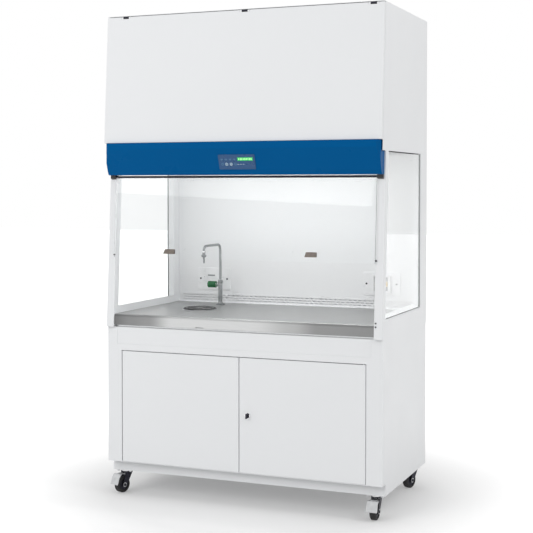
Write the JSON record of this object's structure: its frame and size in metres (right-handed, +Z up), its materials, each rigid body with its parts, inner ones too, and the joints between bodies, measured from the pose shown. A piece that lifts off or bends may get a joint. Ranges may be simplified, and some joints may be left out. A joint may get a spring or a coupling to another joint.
{
  "type": "ductless fume hood",
  "caption": "Tall white filter fume hood with a blue control band, top-hung clear sash, steel worktop with cup sink and tap, on a wheeled cabinet with doors.",
  "frame": {"origin": "on the floor, at the middle of the plan outline", "axes": "+X to the right seen from the front, -Y out of the front, +Z up"},
  "size_m": [1.34, 0.766, 2.236],
  "materials": {
    "white_paint": "smooth white powder coat",
    "blue_plastic": "smooth deep blue moulding, satin gloss",
    "worktop_steel": "stainless steel brushed along its length",
    "zinc_steel": "plain zinc-plated steel",
    "chrome": "polished chrome",
    "satin_metal": "satin grey metal",
    "black_plastic": "matt black plastic",
    "dark_steel": "dark bronze-grey plated steel",
    "green_plastic": "glossy green plastic",
    "grey_pvc": "plain grey PVC",
    "clear_glass": "clear glass with a faint grey-green tint",
    "display": "dark window over a green display",
    "panel_film": "blue overlay film",
    "key_cap": "pale key cap",
    "wheel_rubber": "black caster tread",
    "filter_media": "pleated white fibre pad in a card frame",
    "filter_bed": "black carbon granulate in a frame",
    "motor_paint": "dark grey enamel on a finned cast housing",
    "diffuser": "white lamp diffuser",
    "socket_white": "white socket plastic"
  },
  "bodies": {
    "cabinet": {"base_frame": "white_paint", "chassis": "white_paint", "base_side_left": "white_paint", "base_side_right": "white_paint", "base_back": "white_paint", "apron_panel": "white_paint", "door_surround": "white_paint", "caster_plates": "zinc_steel", "hood_floor_frame": "zinc_steel", "worktop": "worktop_steel", "sink_cup": "black_plastic", "sink_grate": "satin_metal", "drain_pipe": "grey_pvc", "tap_body": "satin_metal", "post_left": "white_paint", "post_right": "white_paint", "hood_side_left": "white_paint", "hood_side_right": "white_paint", "side_panes": "clear_glass", "rear_panel": "white_paint", "power_inlet": "black_plastic", "rear_baffle": "white_paint", "socket_plates": "socket_white", "socket_outlets": "socket_white", "screws": "dark_steel", "fascia": "blue_plastic", "control_panel": "panel_film", "display_window": "display", "sash_pivots": "black_plastic", "head_shell": "white_paint", "panel_hinges": "dark_steel", "filter_deck": "white_paint", "prefilter": "filter_media", "main_filter": "filter_bed", "fan_deck": "zinc_steel", "fan_motor": "motor_paint", "lamp": "diffuser"},
    "head_door": {"front_panel": "white_paint"},
    "sash": {"sash_rail": "dark_steel", "sash_pane": "clear_glass", "sash_pulls": "satin_metal"},
    "left_door": {"door_left": "white_paint"},
    "right_door": {"door_right": "white_paint", "lock_barrel": "chrome"},
    "lock": {"lock_knob": "dark_steel"},
    "spout": {"tap_spout": "satin_metal"},
    "tap_grip": {"tap_handle": "green_plastic"},
    "fan": {"fan_wheel": "satin_metal"},
    "fan_key": {"key_fan": "key_cap"},
    "lamp_key": {"key_lamp": "key_cap"},
    "caster_fl": {"caster_fork_fl": "dark_steel"},
    "roller_fl": {"wheel_fl": "wheel_rubber"},
    "pedal_fl": {"brake_pedal_fl": "zinc_steel"},
    "caster_fr": {"caster_fork_fr": "dark_steel"},
    "roller_fr": {"wheel_fr": "wheel_rubber"},
    "pedal_fr": {"brake_pedal_fr": "zinc_steel"},
    "caster_rl": {"caster_fork_rl": "dark_steel"},
    "roller_rl": {"wheel_rl": "wheel_rubber"},
    "caster_rr": {"caster_fork_rr": "dark_steel"},
    "roller_rr": {"wheel_rr": "wheel_rubber"}
  },
  "joints": [
    {"name": "front_panel_hinge", "type": "hinge", "parent": "cabinet", "child": "head_door", "pos_m": [0, -0.32777, 2.228], "axis": [-1, 0, 0], "range_deg": [0, 100]},
    {"name": "sash_hinge", "type": "hinge", "parent": "cabinet", "child": "sash", "pos_m": [0, -0.31869, 1.48953], "axis": [-1, 0, 0], "range_deg": [0, 80]},
    {"name": "door_left_hinge", "type": "hinge", "parent": "cabinet", "child": "left_door", "pos_m": [-0.583, -0.335, 0.422], "axis": [0, 0, -1], "range_deg": [0, 100]},
    {"name": "door_right_hinge", "type": "hinge", "parent": "cabinet", "child": "right_door", "pos_m": [0.583, -0.335, 0.422], "axis": [0, 0, 1], "range_deg": [0, 100]},
    {"name": "lock_turn", "type": "hinge", "parent": "right_door", "child": "lock", "pos_m": [0.043, -0.345, 0.422], "axis": [0, 1, 0], "range_deg": [0, 90]},
    {"name": "spout_swivel", "type": "hinge", "parent": "cabinet", "child": "spout", "pos_m": [-0.348, 0.223, 0.977], "axis": [0, 0, 1], "range_deg": [-90, 90]},
    {"name": "tap_valve", "type": "hinge", "parent": "cabinet", "child": "tap_grip", "pos_m": [-0.365, 0.223, 0.954], "axis": [-1, 0, 0], "range_deg": [0, 90]},
    {"name": "fan_spin", "type": "hinge", "parent": "cabinet", "child": "fan", "pos_m": [0, 0.033, 1.944], "axis": [0, 0, 1], "continuous": true},
    {"name": "key_fan_press", "type": "slide", "parent": "cabinet", "child": "fan_key", "axis": [0, 0.9511, 0.309], "range_m": [0, 0.0008], "stiffness_N_per_m": 300, "springref_m": -0.0008},
    {"name": "key_lamp_press", "type": "slide", "parent": "cabinet", "child": "lamp_key", "axis": [0, 0.9511, 0.309], "range_m": [0, 0.0008], "stiffness_N_per_m": 300, "springref_m": -0.0008},
    {"name": "caster_fl_swivel", "type": "hinge", "parent": "cabinet", "child": "caster_fl", "pos_m": [-0.618, -0.257, 0.098], "axis": [0, 0, 1], "continuous": true},
    {"name": "wheel_fl_roll", "type": "hinge", "parent": "caster_fl", "child": "roller_fl", "pos_m": [-0.62826, -0.28519, 0.0375], "axis": [-0.9397, 0.342, 0], "continuous": true},
    {"name": "brake_fl_tip", "type": "hinge", "parent": "caster_fl", "child": "pedal_fl", "pos_m": [-0.62416, -0.27391, 0.086], "axis": [0.9397, -0.342, 0], "range_deg": [0, 10]},
    {"name": "caster_fr_swivel", "type": "hinge", "parent": "cabinet", "child": "caster_fr", "pos_m": [0.618, -0.257, 0.098], "axis": [0, 0, 1], "continuous": true},
    {"name": "wheel_fr_roll", "type": "hinge", "parent": "caster_fr", "child": "roller_fr", "pos_m": [0.618, -0.287, 0.0375], "axis": [-1, 0, 0], "continuous": true},
    {"name": "brake_fr_tip", "type": "hinge", "parent": "caster_fr", "child": "pedal_fr", "pos_m": [0.618, -0.275, 0.086], "axis": [1, 0, 0], "range_deg": [0, 10]},
    {"name": "caster_rl_swivel", "type": "hinge", "parent": "cabinet", "child": "caster_rl", "pos_m": [-0.618, 0.338, 0.098], "axis": [0, 0, 1], "continuous": true},
    {"name": "wheel_rl_roll", "type": "hinge", "parent": "caster_rl", "child": "roller_rl", "pos_m": [-0.62826, 0.30981, 0.0375], "axis": [-0.9397, 0.342, 0], "continuous": true},
    {"name": "caster_rr_swivel", "type": "hinge", "parent": "cabinet", "child": "caster_rr", "pos_m": [0.618, 0.338, 0.098], "axis": [0, 0, 1], "continuous": true},
    {"name": "wheel_rr_roll", "type": "hinge", "parent": "caster_rr", "child": "roller_rr", "pos_m": [0.60774, 0.30981, 0.0375], "axis": [-0.9397, 0.342, 0], "continuous": true}
  ]
}
